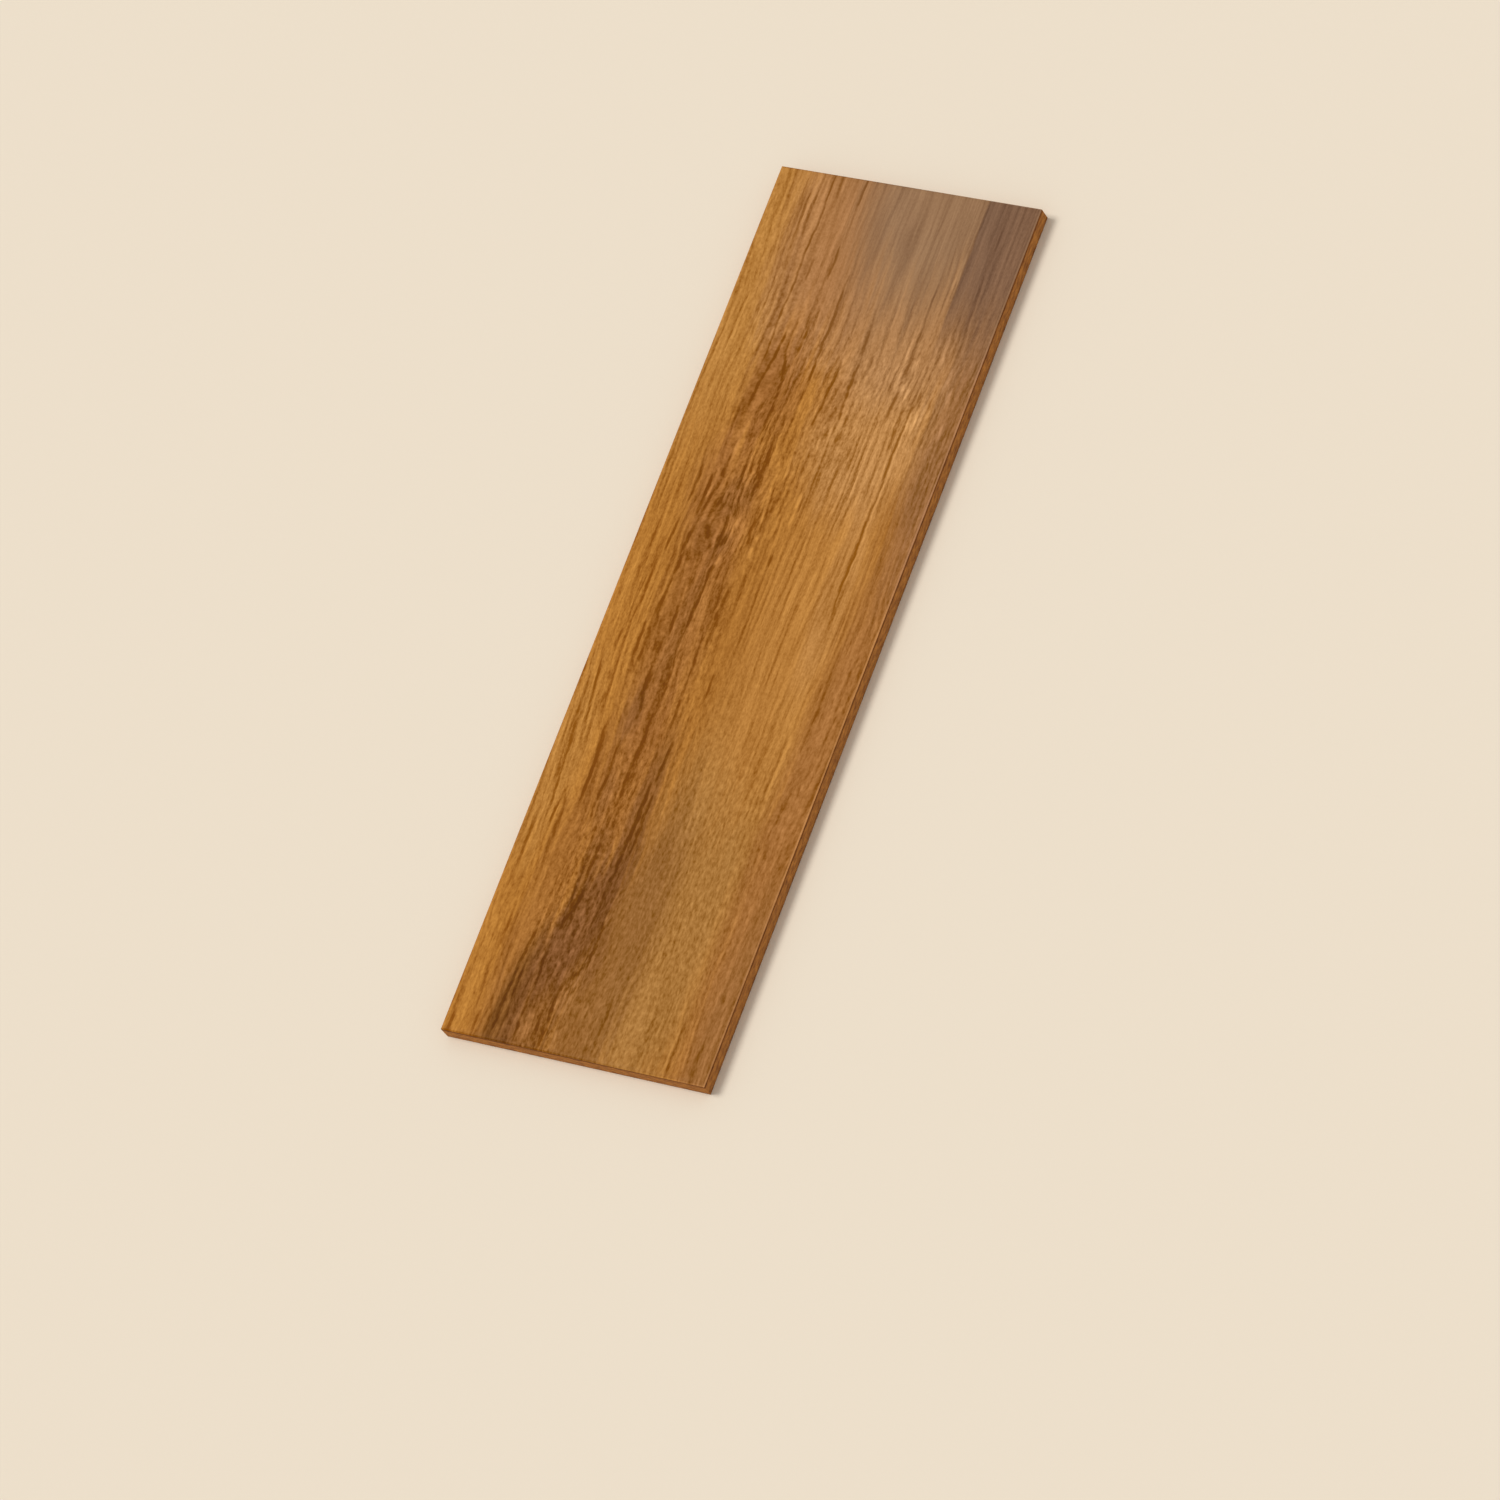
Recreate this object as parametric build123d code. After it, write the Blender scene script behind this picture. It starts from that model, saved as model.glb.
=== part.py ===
from build123d import *
import os

# Laminate floor plank, in millimetres.
# It lies flat with its wood-decor face up. +Y runs along the grain, X across the width and +Z is up.
# The origin is the centre of the underside.

# The board that is pressed and sawn
LENGTH = 615.0
WIDTH = 188.0
THICKNESS = 12.0

# The four arrises of the decor face are milled off at 45 degrees, so that two planks meet in a fine V
BEVEL_LEG = 0.8

# The arrises of the underside are only eased, as the trimming saw and a light sanding leave them
BACK_EASE_LEG = 0.3


def pressed_board():
    """The square-edged board: overlay, decor paper, fibreboard and backing pressed into one."""
    return Box(WIDTH, LENGTH, THICKNESS, align=(Align.CENTER, Align.CENTER, Align.MIN))


def bevel_decor_face(board):
    """Mill the bevel round the decor face. It meets itself in a mitre at each corner."""
    decor_face = board.faces().sort_by(Axis.Z)[-1]
    return chamfer(decor_face.edges(), BEVEL_LEG)


def ease_underside(board):
    """Ease the arrises round the underside."""
    underside = board.faces().sort_by(Axis.Z)[0]
    return chamfer(underside.edges(), BACK_EASE_LEG)


def laminate_plank():
    """The finished plank, one solid."""
    return ease_underside(bevel_decor_face(pressed_board()))


os.makedirs("parts", exist_ok=True)
export_step(laminate_plank(), "parts/laminate_plank.step")
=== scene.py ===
import math

import bmesh
import bpy
import numpy as np
from bpy.props import FloatProperty, FloatVectorProperty, PointerProperty
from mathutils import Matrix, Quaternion, Vector


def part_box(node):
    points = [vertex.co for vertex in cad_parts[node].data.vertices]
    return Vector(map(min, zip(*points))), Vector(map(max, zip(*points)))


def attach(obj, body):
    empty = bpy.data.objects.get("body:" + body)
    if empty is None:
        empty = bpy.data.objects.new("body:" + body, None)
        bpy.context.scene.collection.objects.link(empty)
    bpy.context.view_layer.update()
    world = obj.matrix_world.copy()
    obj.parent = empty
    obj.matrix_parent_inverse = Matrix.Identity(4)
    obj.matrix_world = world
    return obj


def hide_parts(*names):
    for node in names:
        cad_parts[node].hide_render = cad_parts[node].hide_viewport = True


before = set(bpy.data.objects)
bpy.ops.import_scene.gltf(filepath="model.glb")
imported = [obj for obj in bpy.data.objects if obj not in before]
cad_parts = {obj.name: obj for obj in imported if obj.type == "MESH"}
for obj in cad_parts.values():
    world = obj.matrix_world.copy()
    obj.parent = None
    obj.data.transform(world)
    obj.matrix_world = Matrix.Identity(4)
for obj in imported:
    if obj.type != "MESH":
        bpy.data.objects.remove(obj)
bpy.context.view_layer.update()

bl_info = {
    "name": "Laminate floor plank",
    "version": (1, 0, 0),
    "blender": (4, 5, 0),
    "location": "3D View > Sidebar > Plank",
    "description": "Builds an embossed, printed laminate floor plank on a pale floor",
    "category": "Object",
}

MM = 0.001
NODE = "laminate_plank"

LOW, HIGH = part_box(NODE)
WIDTH, LENGTH, THICKNESS = ((high - low) / MM for low, high in zip(LOW, HIGH))

# The print is laid out in millimetres from the near left corner of the face:
# first across the plank, then along it.

# How the straight grain bends: size of the bend across and along, and how far it carries the grain
RIPPLES = (
    (22.0, 60.0, 0.9),
    (4.5, 9.0, 0.3),
)
WANDERS = (
    (85.0, 240.0, 4.0),
)

# In the sapwood the grain leans to the left over this stretch
LEAN_FROM, LEAN_TO, LEAN_SHIFT = 140.0, 330.0, 12.0
LEAN_FADE_FROM, LEAN_FADE_TO = 25.0, 62.0

# Usual space between growth rings, where they show as near-even lines
RING_WIDTH = 4.7

# How far from its middle each kind of patch starts and is full, where 1 is its half size
KNOT_FADE = (1.0, 0.0)
BOLD_FADE = (1.0, 0.3)
SHORT_FADE = (1.2, 0.3)
STRAIGHT_FADE = (1.0, 0.45)
TONE_FADE = (1.3, 0.5)

# Knots: centre across and along, half width, half length, and how far they push the grain aside
KNOTS = (
    (57.0, 362.0, 26.0, 34.0, 0.55),
    (50.0, 470.0, 14.0, 34.0, 0.50),
    (137.0, 484.0, 12.0, 22.0, 0.60),
)

# Where the grain is bolder or fainter: centre across and along, half width, half length, and how much
PLAIN_GRAIN = 0.85
BOLD_PATCHES = (
    (10.0, 270.0, 34.0, 190.0, 0.3),
    (57.0, 70.0, 34.0, 170.0, 0.55),
    (57.0, 300.0, 34.0, 200.0, 0.35),
    (90.0, 445.0, 110.0, 120.0, 0.3),
    (110.0, 620.0, 90.0, 170.0, -0.4),
)

# Where the strands are short: centre across and along, half width and half length
SHORT_STRANDS = (108.0, 85.0, 86.0, 230.0)

# Where they are long and straight instead: centre across and along, half width, half length, and share
STRAIGHT_STRANDS = (
    (120.0, 640.0, 160.0, 165.0, 0.8),
    (134.0, 335.0, 60.0, 160.0, 0.6),
    (8.0, 330.0, 34.0, 280.0, 0.5),
)

# Patches of the figure: tone, centre across and along, half width, half length, lean in degrees,
# strength, and how far the streaks fray its border
PATCHES = (
    ("sapwood", 4.0, 80.0, 34.0, 400.0, 0.0, 1.0, 0.8),
    ("sapwood", 34.0, 150.0, 20.0, 85.0, -3.0, 0.4, 0.9),
    ("honey", 8.0, 190.0, 18.0, 74.0, 0.0, 0.6, 0.8),
    ("honey", 4.0, 570.0, 50.0, 170.0, 0.0, 0.9, 0.8),
    ("olive", 127.0, 105.0, 42.0, 160.0, 0.0, 0.9, 0.5),
    ("amber", 136.0, 300.0, 36.0, 130.0, 0.0, 0.9, 0.6),
    ("pale", 150.0, 335.0, 12.0, 80.0, 0.0, 0.35, 0.6),
    # This pale patch and the small one at 156 across, 450 along are light wood with a painted sheen on it:
    # reflected light painted into the print.
    ("pale", 134.0, 448.0, 46.0, 68.0, 0.0, 0.85, 0.5),
    ("pale", 80.0, 520.0, 14.0, 40.0, 0.0, 0.5, 0.8),
    ("pale", 34.0, 524.0, 13.0, 40.0, 0.0, 0.5, 0.8),
    ("pale", 102.0, 575.0, 16.0, 44.0, 0.0, 0.25, 0.5),
    ("rose", 132.0, 515.0, 60.0, 56.0, 0.0, 0.7, 0.4),
    ("russet", 184.0, 150.0, 24.0, 330.0, 0.0, 0.9, 0.5),
    ("umber", 188.0, 40.0, 18.0, 100.0, 0.0, 0.6, 0.5),
    ("honey", 150.0, 225.0, 12.0, 60.0, 0.0, 0.3, 0.7),
    ("umber", 96.0, 60.0, 25.0, 130.0, 3.0, 0.75, 0.7),
    ("brown", 58.0, 185.0, 24.0, 70.0, 0.0, 0.55, 0.8),
    ("brown", 55.0, 280.0, 22.0, 100.0, 0.0, 0.65, 0.8),
    ("brown", 54.0, 375.0, 27.0, 56.0, 0.0, 0.55, 0.8),
    ("brown", 36.0, 395.0, 12.0, 42.0, 0.0, 0.6, 1.0),
    ("brown", 50.0, 462.0, 17.0, 44.0, 0.0, 0.8, 1.0),
    ("brown", 100.0, 461.0, 12.0, 20.0, 0.0, 0.3, 1.0),
    ("brown", 36.0, 80.0, 15.0, 120.0, 0.0, 0.5, 1.0),
    ("brown", 27.0, 16.0, 9.0, 56.0, 0.0, 0.35, 1.0),
    ("bark", 38.5, 13.0, 12.5, 68.0, 3.0, 0.95, 0.9),
    ("heartwood", 56.0, 20.0, 17.0, 76.0, 2.0, 0.6, 0.8),
    ("heartwood", 66.0, 88.0, 16.0, 60.0, 13.0, 0.85, 0.6),
    ("heartwood", 77.0, 155.0, 9.0, 76.0, 2.0, 0.6, 0.7),
    ("heartwood", 59.0, 130.0, 8.0, 30.0, 0.0, 0.45, 1.0),
    ("heartwood", 84.0, 68.0, 6.0, 26.0, 0.0, 0.4, 1.0),
    ("heartwood", 50.0, 172.0, 6.0, 24.0, 0.0, 0.35, 1.0),
    ("brown", 40.0, 424.0, 9.0, 24.0, 0.0, 0.5, 1.0),
    ("brown", 70.0, 452.0, 7.0, 26.0, 0.0, 0.5, 1.0),
    ("heartwood", 46.0, 228.0, 7.0, 22.0, 0.0, 0.5, 1.0),
    ("heartwood", 54.0, 285.0, 7.0, 56.0, 3.0, 0.25, 1.0),
    ("heartwood", 47.0, 354.0, 9.0, 16.0, -30.0, 0.2, 0.6),
    ("heartwood", 61.0, 353.0, 6.0, 9.0, 0.0, 0.35, 0.6),
    ("heartwood", 58.0, 384.0, 12.0, 16.0, 0.0, 0.35, 1.0),
    # Part of the painted sheen of the wide pale patch at 134 across.
    ("pale", 156.0, 450.0, 9.0, 14.0, 0.0, 0.6, 1.0),
    ("blush", 62.0, 590.0, 46.0, 110.0, 0.0, 0.8, 0.6),
    # The taupe and plum patches are print and painted sheen together: light reflected off the far end,
    # greying it, painted into the colour.
    ("taupe_and_sheen", 120.0, 628.0, 60.0, 112.0, 0.0, 0.95, 0.25),
    ("plum_and_sheen", 190.0, 450.0, 26.0, 110.0, 0.0, 0.35, 0.5),
    ("plum_and_sheen", 188.0, 596.0, 28.0, 100.0, 0.0, 0.35, 0.35),
)

# The dark corner has a clear line as its left side and fades out towards the near end: where the line
# is across, half its softness, where the corner starts and where it is full along, and how strong
DARK_CORNER = (151.5, 1.0, 485.0, 565.0, 0.85)

# A single grain line wanders a little: length of its waves and how far they swing it to the side
LINE_WAVES = (
    (47.0, 0.45),
    (13.0, 0.22),
)

# Single grain lines: across and along at one end, across and along at the other, and half width.
# First those that are drawn darkest.
STRONG_LINES = (
    (34.0, 3.0, 35.0, 52.0, 1.4),
    (35.0, 46.0, 37.8, 84.0, 1.2),
    (51.0, 2.0, 50.5, 34.0, 1.1),
    (51.0, 42.0, 50.5, 66.0, 1.1),
    (54.5, 78.0, 57.5, 110.0, 2.2),
    (57.5, 106.0, 57.5, 164.0, 1.2),
    (75.0, 118.0, 76.5, 190.0, 1.6),
    (80.0, 134.0, 80.5, 180.0, 1.2),
    (79.0, 184.0, 79.5, 218.0, 1.2),
    (34.0, 160.0, 31.0, 222.0, 1.4),
    (58.0, 156.0, 59.5, 236.0, 1.2),
    (46.0, 238.0, 46.0, 262.0, 1.6),
    (48.5, 286.0, 48.5, 308.0, 1.4),
    (59.5, 286.0, 59.5, 338.0, 1.2),
    (36.4, 342.0, 36.4, 357.0, 1.2),
    (35.8, 366.0, 35.8, 398.0, 1.4),
    (68.3, 380.0, 68.3, 426.0, 1.2),
    (77.2, 353.0, 77.2, 372.0, 1.4),
    (76.0, 459.0, 76.0, 549.0, 1.1),
    (92.0, 461.0, 93.0, 488.0, 1.2),
    (39.5, 472.0, 40.5, 622.0, 0.9),
    (152.0, 312.0, 152.0, 476.0, 0.9),
    (42.0, 446.0, 44.0, 472.0, 1.2),
    (44.0, 468.0, 48.8, 504.0, 1.2),
    (58.0, 428.0, 58.8, 466.0, 1.2),
    (58.8, 462.0, 53.0, 490.0, 1.2),
)

# Drawn less dark
MIDDLE_LINES = (
    (29.3, 2.0, 29.3, 22.0, 1.2),
    (21.0, 0.0, 21.0, 18.0, 1.1),
    (39.5, 4.0, 39.5, 60.0, 1.1),
    (69.0, -6.0, 69.0, 46.0, 1.4),
    (63.0, 3.0, 63.0, 26.0, 1.6),
    (73.5, 84.0, 74.0, 122.0, 1.4),
    (81.0, 58.0, 81.0, 92.0, 1.2),
    (44.5, 152.0, 44.5, 212.0, 1.1),
    (49.0, 222.0, 48.0, 262.0, 1.4),
    (46.0, 268.0, 46.0, 282.0, 1.2),
    (60.7, 240.0, 60.7, 278.0, 1.1),
    (74.0, 222.0, 74.0, 244.0, 1.2),
    (76.0, 280.0, 77.0, 326.0, 1.2),
    (89.5, 242.0, 89.5, 268.0, 1.1),
    (154.0, 186.0, 154.0, 238.0, 1.1),
    (34.5, 256.0, 34.5, 312.0, 1.2),
    (30.0, 268.0, 30.0, 292.0, 1.1),
    (37.2, 328.0, 37.2, 342.0, 1.1),
    (59.5, 318.0, 60.5, 336.0, 1.5),
    (42.5, 396.0, 43.6, 414.0, 1.4),
    (48.0, 375.0, 48.0, 387.0, 1.4),
    (52.0, 377.0, 52.0, 387.0, 1.2),
    (56.6, 388.0, 56.6, 412.0, 1.2),
    (45.5, 363.0, 48.5, 354.0, 1.7),
    (49.0, 358.0, 55.5, 345.0, 1.6),
    (57.5, 348.0, 57.5, 360.0, 1.8),
    (60.5, 349.0, 60.5, 358.0, 2.0),
    (62.0, 371.0, 62.5, 384.0, 2.4),
    (60.5, 329.0, 62.0, 338.0, 1.8),
    (61.0, 402.0, 61.0, 412.0, 1.8),
    (97.5, 343.0, 97.5, 352.0, 1.5),
    (77.0, 357.0, 77.0, 382.0, 1.5),
    (77.0, 336.0, 77.0, 384.0, 1.1),
    (82.7, 363.0, 82.7, 386.0, 1.1),
    (82.3, 384.0, 80.6, 403.0, 0.9),
    (27.0, 376.0, 27.0, 404.0, 1.1),
    (23.0, 340.0, 26.0, 364.0, 1.2),
    (36.4, 426.0, 36.4, 452.0, 1.2),
    (52.7, 490.0, 52.7, 514.0, 1.1),
    (61.6, 485.0, 61.6, 518.0, 1.1),
    (61.6, 543.0, 61.6, 566.0, 1.1),
    (47.0, 540.0, 47.0, 556.0, 1.1),
    (63.0, 592.0, 63.0, 620.0, 1.1),
    (106.0, 428.0, 105.6, 496.0, 1.1),
    (146.8, 433.0, 146.8, 466.0, 0.9),
    (154.7, 462.0, 154.7, 480.0, 1.1),
    (138.6, 452.0, 138.8, 478.0, 1.4),
    (137.0, 477.0, 140.4, 484.0, 1.1),
    (137.6, 482.0, 139.6, 496.0, 1.2),
    (14.2, 148.0, 12.5, 186.0, 1.1),
    (12.5, 182.0, 5.7, 252.0, 1.1),
    (18.2, 148.0, 20.5, 174.0, 1.1),
    (20.5, 171.0, 14.8, 231.0, 1.1),
    (14.8, 227.0, 5.1, 292.0, 1.1),
    (25.0, 146.0, 22.0, 168.0, 1.1),
    (20.0, 312.0, 20.0, 352.0, 1.1),
)

# Barely darker than the wood round them
FAINT_LINES = (
    (24.0, -4.0, 24.0, 6.0, 1.2),
    (5.5, -2.0, 5.5, 14.0, 1.1),
    (26.5, 12.0, 26.5, 30.0, 1.1),
    (17.5, 58.0, 17.5, 92.0, 1.2),
    (20.0, 90.0, 20.0, 112.0, 1.2),
    (24.0, 136.0, 24.0, 160.0, 1.2),
    (8.0, 94.0, 8.0, 160.0, 1.2),
    (21.0, 229.0, 21.0, 239.0, 1.4),
    (19.0, 245.0, 19.0, 256.0, 1.4),
    (16.5, 268.0, 16.5, 284.0, 1.4),
    (12.0, 298.0, 12.0, 356.0, 1.2),
    (11.0, 484.0, 11.0, 526.0, 1.2),
    (27.5, 556.0, 27.5, 602.0, 1.2),
    (32.0, 568.0, 32.0, 602.0, 1.2),
    (106.0, 14.0, 106.0, 46.0, 1.2),
    (160.0, -6.0, 160.0, 46.0, 1.3),
    (177.0, -6.0, 177.0, 30.0, 1.4),
    (167.0, 224.0, 167.0, 300.0, 1.2),
    (180.0, 224.0, 180.0, 310.0, 1.2),
    (119.0, 300.0, 119.0, 396.0, 1.2),
    (105.5, 398.0, 105.5, 434.0, 1.0),
    (94.0, 361.0, 94.0, 380.0, 1.3),
    (102.6, 381.0, 102.6, 397.0, 1.2),
    (84.7, 316.0, 84.7, 336.0, 1.2),
    (79.3, 314.0, 79.3, 326.0, 1.2),
    (36.0, 298.0, 36.0, 322.0, 1.2),
    (39.8, 364.0, 40.3, 390.0, 1.2),
    (75.5, 428.0, 75.8, 464.0, 1.0),
    (90.6, 438.0, 92.0, 464.0, 1.0),
    (70.5, 42.0, 81.0, 62.0, 1.3),
    (105.4, 492.0, 104.2, 512.0, 1.1),
    (138.7, 497.0, 139.0, 550.0, 1.0),
    (151.6, 536.0, 151.6, 620.0, 1.0),
)

# Lighter than the wood round them, mostly beside a dark line
PALE_LINES = (
    (158.0, -6.0, 158.0, 46.0, 1.0),
    (183.0, -6.0, 183.0, 80.0, 1.0),
    (156.0, 178.0, 157.0, 238.0, 1.4),
    (153.8, 330.0, 153.8, 476.0, 0.8),
    (80.0, 383.0, 80.0, 411.0, 1.0),
    (38.0, 375.0, 38.0, 391.0, 0.9),
    (94.0, 486.0, 94.0, 492.0, 1.2),
    (138.0, 470.0, 136.0, 496.0, 1.0),
    (12.6, 484.0, 12.6, 526.0, 0.9),
    (30.0, 568.0, 30.0, 618.0, 1.1),
    (149.0, 548.0, 149.0, 576.0, 1.2),
)

# Short and light: wood that shows between the dark strokes of the heartwood and the knots
PALE_LENSES = (
    (37.5, 1.0, 37.5, 11.0, 1.3),
    (41.5, 2.0, 42.0, 14.0, 1.5),
    (38.0, 21.0, 38.5, 29.0, 1.5),
    (47.5, 7.0, 48.5, 27.0, 1.6),
    (55.0, 2.0, 58.0, 24.0, 2.6),
    (55.5, 34.0, 55.5, 50.0, 1.5),
    (44.5, 40.0, 45.0, 61.0, 1.3),
    (43.0, 57.0, 43.0, 72.0, 1.5),
    (47.5, 48.0, 48.0, 62.0, 1.1),
    (62.0, 48.0, 62.5, 60.0, 1.4),
    (67.0, 43.0, 67.5, 57.0, 1.4),
    (55.0, 61.0, 55.5, 73.0, 1.4),
    (60.5, 71.0, 60.0, 85.0, 1.5),
    (67.5, 60.0, 67.5, 71.0, 1.3),
    (66.5, 75.0, 66.5, 92.0, 1.6),
    (64.0, 87.0, 65.0, 98.0, 1.4),
    (75.0, 39.0, 82.0, 60.0, 1.3),
    (71.0, 25.0, 71.5, 42.0, 1.5),
    (75.0, 24.0, 75.0, 42.0, 1.4),
    (78.0, 1.0, 78.0, 16.0, 1.3),
    (78.0, 26.0, 78.5, 41.0, 1.4),
    (83.0, 56.0, 83.0, 73.0, 1.2),
    (91.0, 24.0, 91.0, 36.0, 1.2),
    (38.7, 343.0, 38.9, 356.0, 1.3),
    (41.3, 359.0, 43.2, 372.0, 1.4),
    (46.7, 364.0, 46.9, 372.0, 1.3),
    (55.0, 348.0, 54.8, 362.0, 1.6),
    (50.3, 379.0, 50.3, 388.0, 1.2),
    (65.5, 364.0, 65.7, 371.0, 1.7),
    (70.2, 348.0, 70.4, 372.0, 1.5),
    (81.5, 346.0, 81.5, 353.0, 1.4),
    (82.6, 358.0, 83.4, 365.0, 1.4),
    (80.6, 367.0, 80.2, 412.0, 1.2),
    (44.7, 407.0, 44.7, 425.0, 1.3),
    (58.0, 394.0, 58.0, 413.0, 1.1),
    (63.0, 335.0, 63.0, 343.0, 1.4),
    (91.9, 361.0, 92.1, 379.0, 1.4),
    (100.7, 383.0, 100.7, 395.0, 1.4),
    (100.7, 372.0, 100.7, 381.0, 1.3),
    (85.4, 402.0, 85.4, 420.0, 1.2),
    (135.9, 476.0, 136.3, 482.0, 1.1),
    (136.2, 483.0, 136.0, 488.0, 1.1),
    (132.2, 487.0, 132.8, 494.0, 1.2),
    (141.8, 474.0, 142.0, 481.0, 1.2),
    (143.7, 491.0, 143.7, 500.0, 1.1),
    (145.4, 470.0, 145.4, 478.0, 1.1),
    (136.2, 495.0, 136.0, 512.0, 1.1),
    (153.0, 447.0, 153.4, 463.0, 1.5),
    (157.5, 450.0, 157.5, 464.0, 1.6),
    (161.0, 455.0, 161.5, 470.0, 1.5),
    (174.0, 471.0, 174.0, 482.0, 1.3),
    (177.4, 447.0, 177.4, 457.0, 1.2),
    (160.6, 496.0, 160.4, 519.0, 1.1),
    (169.0, 478.0, 169.4, 498.0, 1.2),
)

# How strongly each kind is drawn, as two layers on the mesh
LINE_LAYERS = {
    "dark_lines": ((STRONG_LINES, 1.0), (MIDDLE_LINES, 0.75), (FAINT_LINES, 0.5)),
    "pale_lines": ((PALE_LINES, 0.6), (PALE_LENSES, 1.0)),
}

# A line is a long lens. It is gone where its distance, with 1 on the lens's rim, reaches this.
LINE_REACH = 1.5

# The figure's layers on the mesh, and the output of the Attribute node that each is read from
LAYERS = (
    ("tone", "FLOAT_COLOR", "Color"),
    ("light", "FLOAT", "Fac"),
    ("bold", "FLOAT", "Fac"),
    ("shift", "FLOAT", "Fac"),
)

# Relief that stays level with the face, and relief that the plate presses deepest
LEVEL_RELIEF, DEEPEST_RELIEF = 0.4, -0.6

# How much lighter and darker strokes change red, green and blue: dark grain is a yellower brown.
# That shows most in the dark heartwood and much less in the greyer wood at the far end, which a painted
# sheen greys.
DARK_INK = (1.0, 1.34, 3.3)
INK = (1.0, 1.37, 2.4)
GREY_INK = (1.0, 1.2, 1.35)

# Where one gives way to the next: the tone's red, and its blue as a share of its red
DARK_TO_INK = (0.25, 0.45)
INK_TO_GREY = (0.07, 0.24)

# How much lighter the print is, or darker below 0: on the left, on the right, and on top of that at the rim
# on the right, where the arris shows pale. On the bevel the lighter right side and the bright rim are a
# painted highlight, where the arris catches the light.
FACE_LIFTS = (-0.22, -0.22, 0.0)
BEVEL_LIFTS_AND_HIGHLIGHT = (-0.42, 0.06, 0.5)
LEFT_ENDS = 0.4 * WIDTH
RIM_HIGHLIGHT_STARTS, RIM_HIGHLIGHT_FULL = WIDTH - 1.0, WIDTH - 0.7

# How dark a stroke can get, and how softly that limit sets in
DARKEST, LIMIT_SOFTNESS = -0.42, 0.15

# The sawn edge: lumps of mottle for each millimetre round the plank and up it, and what the red,
# green and blue are multiplied by where the mottle is 0 and how much more where it is 1
MOTTLE_PER_MM = (0.16, 0.16, 0.45)
MOTTLE_LOW = (-0.02, -0.15, 0.2)
MOTTLE_RISE = (1.9, 2.2, 1.6)

# Where its dark skins start and are full, down from the face and up from the back, and how strong
UPPER_SKIN = (3.2, 1.8, 1.0)
LOWER_SKIN = (2.4, 0.8, 0.3)

# Clouds in the backing paper for each millimetre
CLOUDS_PER_MM = 0.08

# The plank's materials, in the order of their slots
FACE, BEVEL, SAWN, BACK = range(4)

# Rows of faces up the sawn edge
EDGE_ROWS = 5


def linear(hex_colour):
    """An sRGB hex colour as linear red, green, blue and alpha."""
    channels = [int(hex_colour[i:i + 2], 16) / 255 for i in (1, 3, 5)]
    return [c / 12.92 if c <= 0.04045 else ((c + 0.055) / 1.055) ** 2.4 for c in channels] + [1.0]


def tone(name, description, hex_colour):
    """A colour that the user can change, given as an sRGB hex colour."""
    return FloatVectorProperty(
        name=name, description=description, subtype="COLOR", size=4, min=0.0, max=1.0,
        default=linear(hex_colour),
    )


class ToneProperties(bpy.types.PropertyGroup):
    """Colours of the printed wood figure, the sawn edges and the back"""

    ground: tone("Ground", "Wood between the patches", "#AA6E29")
    sapwood: tone("Sapwood", "Golden strip along the left side", "#B2742B")
    honey: tone("Honey", "Warmer wood at the far left", "#B87E39")
    olive: tone("Olive", "Wide greenish brown patch towards the near end", "#A97537")
    umber: tone("Umber", "Darker wood between the heartwood and the olive", "#8E5C28")
    amber: tone("Amber", "Warm wood in the middle", "#B67A35")
    rose: tone("Rose", "Pinker wood before the far end", "#AB7B4E")
    # Pale is light wood; in its patch towards the dark corner it also carries a painted sheen.
    pale: tone("Pale", "Light wood towards the far end", "#BD864B")
    russet: tone("Russet", "Redder strip along the right side", "#A36A32")
    brown: tone("Brown", "Soft border of the heartwood", "#965D26")
    heartwood: tone("Heartwood", "Darkest streaks, left of the middle", "#7B4B20")
    bark: tone("Bark", "Yellower dark streak at the near end", "#7B4B17")
    # Taupe and plum are print greyed in part by a painted sheen: reflected light painted into these
    # colours.
    taupe_and_sheen: tone("Taupe", "Grey brown at the far end", "#967252")
    blush: tone("Blush", "Pinker streaks at the far end", "#A97547")
    plum_and_sheen: tone("Plum", "Dark far right corner", "#775843")
    core: tone("Core", "Sawn fibreboard in the middle of the edge", "#B27439")
    skin: tone("Skin", "Denser, darker fibreboard near the faces", "#804A1B")
    backing: tone("Backing", "Paper on the underside", "#9A7650")


class PlankProperties(bpy.types.PropertyGroup):
    """Sizes of the plank"""

    bevel_leg: FloatProperty(
        name="Bevel leg",
        description="Leg of the 45 degree bevel round the decor face",
        default=0.8 * MM,
        unit="LENGTH",
    )
    back_ease: FloatProperty(
        name="Back ease",
        description="Leg of the small ease round the underside",
        default=0.3 * MM,
        unit="LENGTH",
    )
    emboss_depth: FloatProperty(
        name="Embossing depth",
        description="Depth of the deepest grain pressed into the face",
        default=0.3 * MM,
        unit="LENGTH",
    )
    cell_across: FloatProperty(
        name="Cell across",
        description="Mesh spacing across the grain",
        default=0.5 * MM,
        unit="LENGTH",
    )
    cell_along: FloatProperty(
        name="Cell along",
        description="Mesh spacing along the grain",
        default=2.6 * MM,
        unit="LENGTH",
    )


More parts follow.
